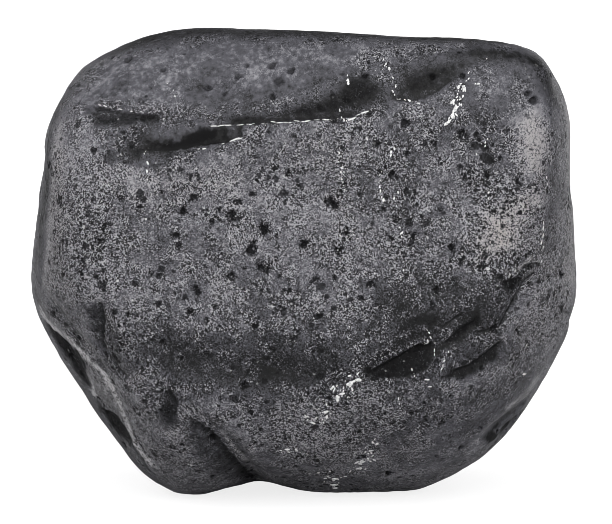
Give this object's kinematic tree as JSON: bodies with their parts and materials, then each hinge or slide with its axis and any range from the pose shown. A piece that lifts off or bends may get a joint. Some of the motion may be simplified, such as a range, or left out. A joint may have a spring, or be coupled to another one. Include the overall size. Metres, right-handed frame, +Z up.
{
  "type": "tumbled shungite stone",
  "caption": "Small tumbled pebble of black shungite with worn facets, scars and pits, standing on a small flat base.",
  "frame": {"origin": "centre of the bounding box at floor level, under the standing stone", "axes": "+Z up, +X to the right across the long way as seen from the front, -Y out of the broad front face"},
  "size_m": [0.036, 0.026, 0.0309],
  "materials": {
    "shungite": "satin, tumbled, with black pits and a few bright mineral specks"
  },
  "bodies": {
    "root": {"stone": "shungite"}
  },
  "joints": []
}
